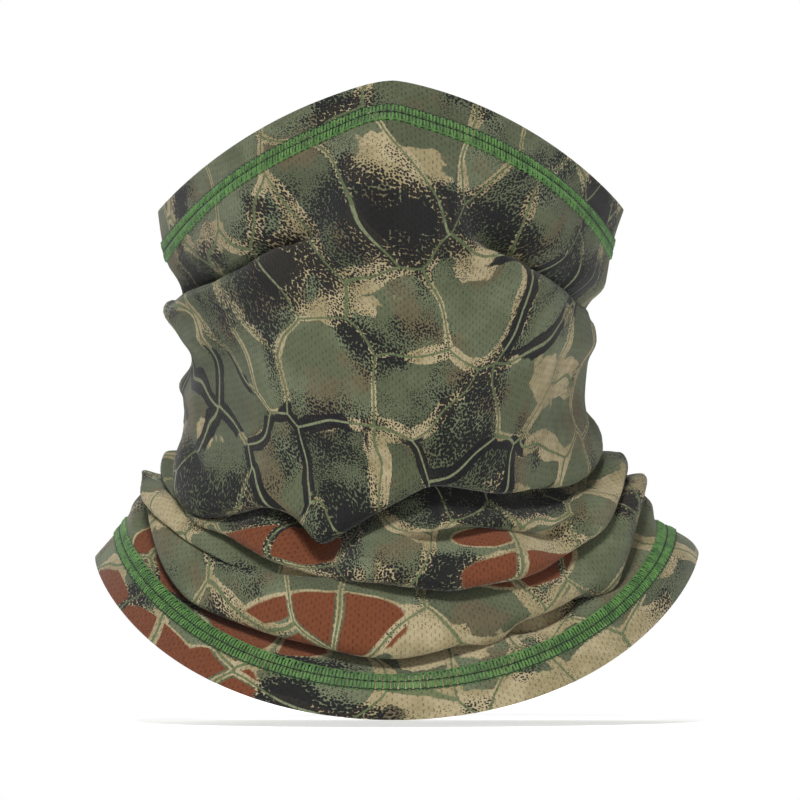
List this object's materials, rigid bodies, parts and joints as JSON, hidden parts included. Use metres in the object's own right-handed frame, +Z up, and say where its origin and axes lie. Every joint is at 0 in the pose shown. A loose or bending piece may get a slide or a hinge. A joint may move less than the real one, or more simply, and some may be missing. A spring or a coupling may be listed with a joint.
{
  "type": "neck gaiter",
  "caption": "Soft knitted tube worn over nose, mouth and neck, gathered in rolls below the chin, with turned-in hems held by contrasting cover stitching.",
  "frame": {"origin": "on the axis of the neck it is worn on, at the tube's narrowest level", "axes": "+Z up along the neck, -Y to the front, where the nose and chin are, +X to the viewer's right from the front"},
  "size_m": [0.1972, 0.1992, 0.2076],
  "materials": {
    "printed_knit": "fine polyester mesh knit, matt, printed with an irregular olive, tan, black and rust cell camouflage; plain paler reverse",
    "stitching_thread": "bright green textured polyester thread"
  },
  "bodies": {
    "root": {"fabric_panel": "printed_knit", "top_hem_needle_thread_1": "stitching_thread", "top_hem_needle_thread_2": "stitching_thread", "top_hem_needle_thread_3": "stitching_thread", "top_hem_cover_thread": "stitching_thread", "top_hem_looper_thread": "stitching_thread", "bottom_hem_needle_thread_1": "stitching_thread", "bottom_hem_needle_thread_2": "stitching_thread", "bottom_hem_needle_thread_3": "stitching_thread", "bottom_hem_cover_thread": "stitching_thread", "bottom_hem_looper_thread": "stitching_thread", "back_seam_needle_thread_1": "stitching_thread", "back_seam_needle_thread_2": "stitching_thread", "back_seam_needle_thread_3": "stitching_thread", "back_seam_needle_thread_4": "stitching_thread", "back_seam_cover_thread": "stitching_thread", "back_seam_looper_thread": "stitching_thread"}
  },
  "joints": []
}
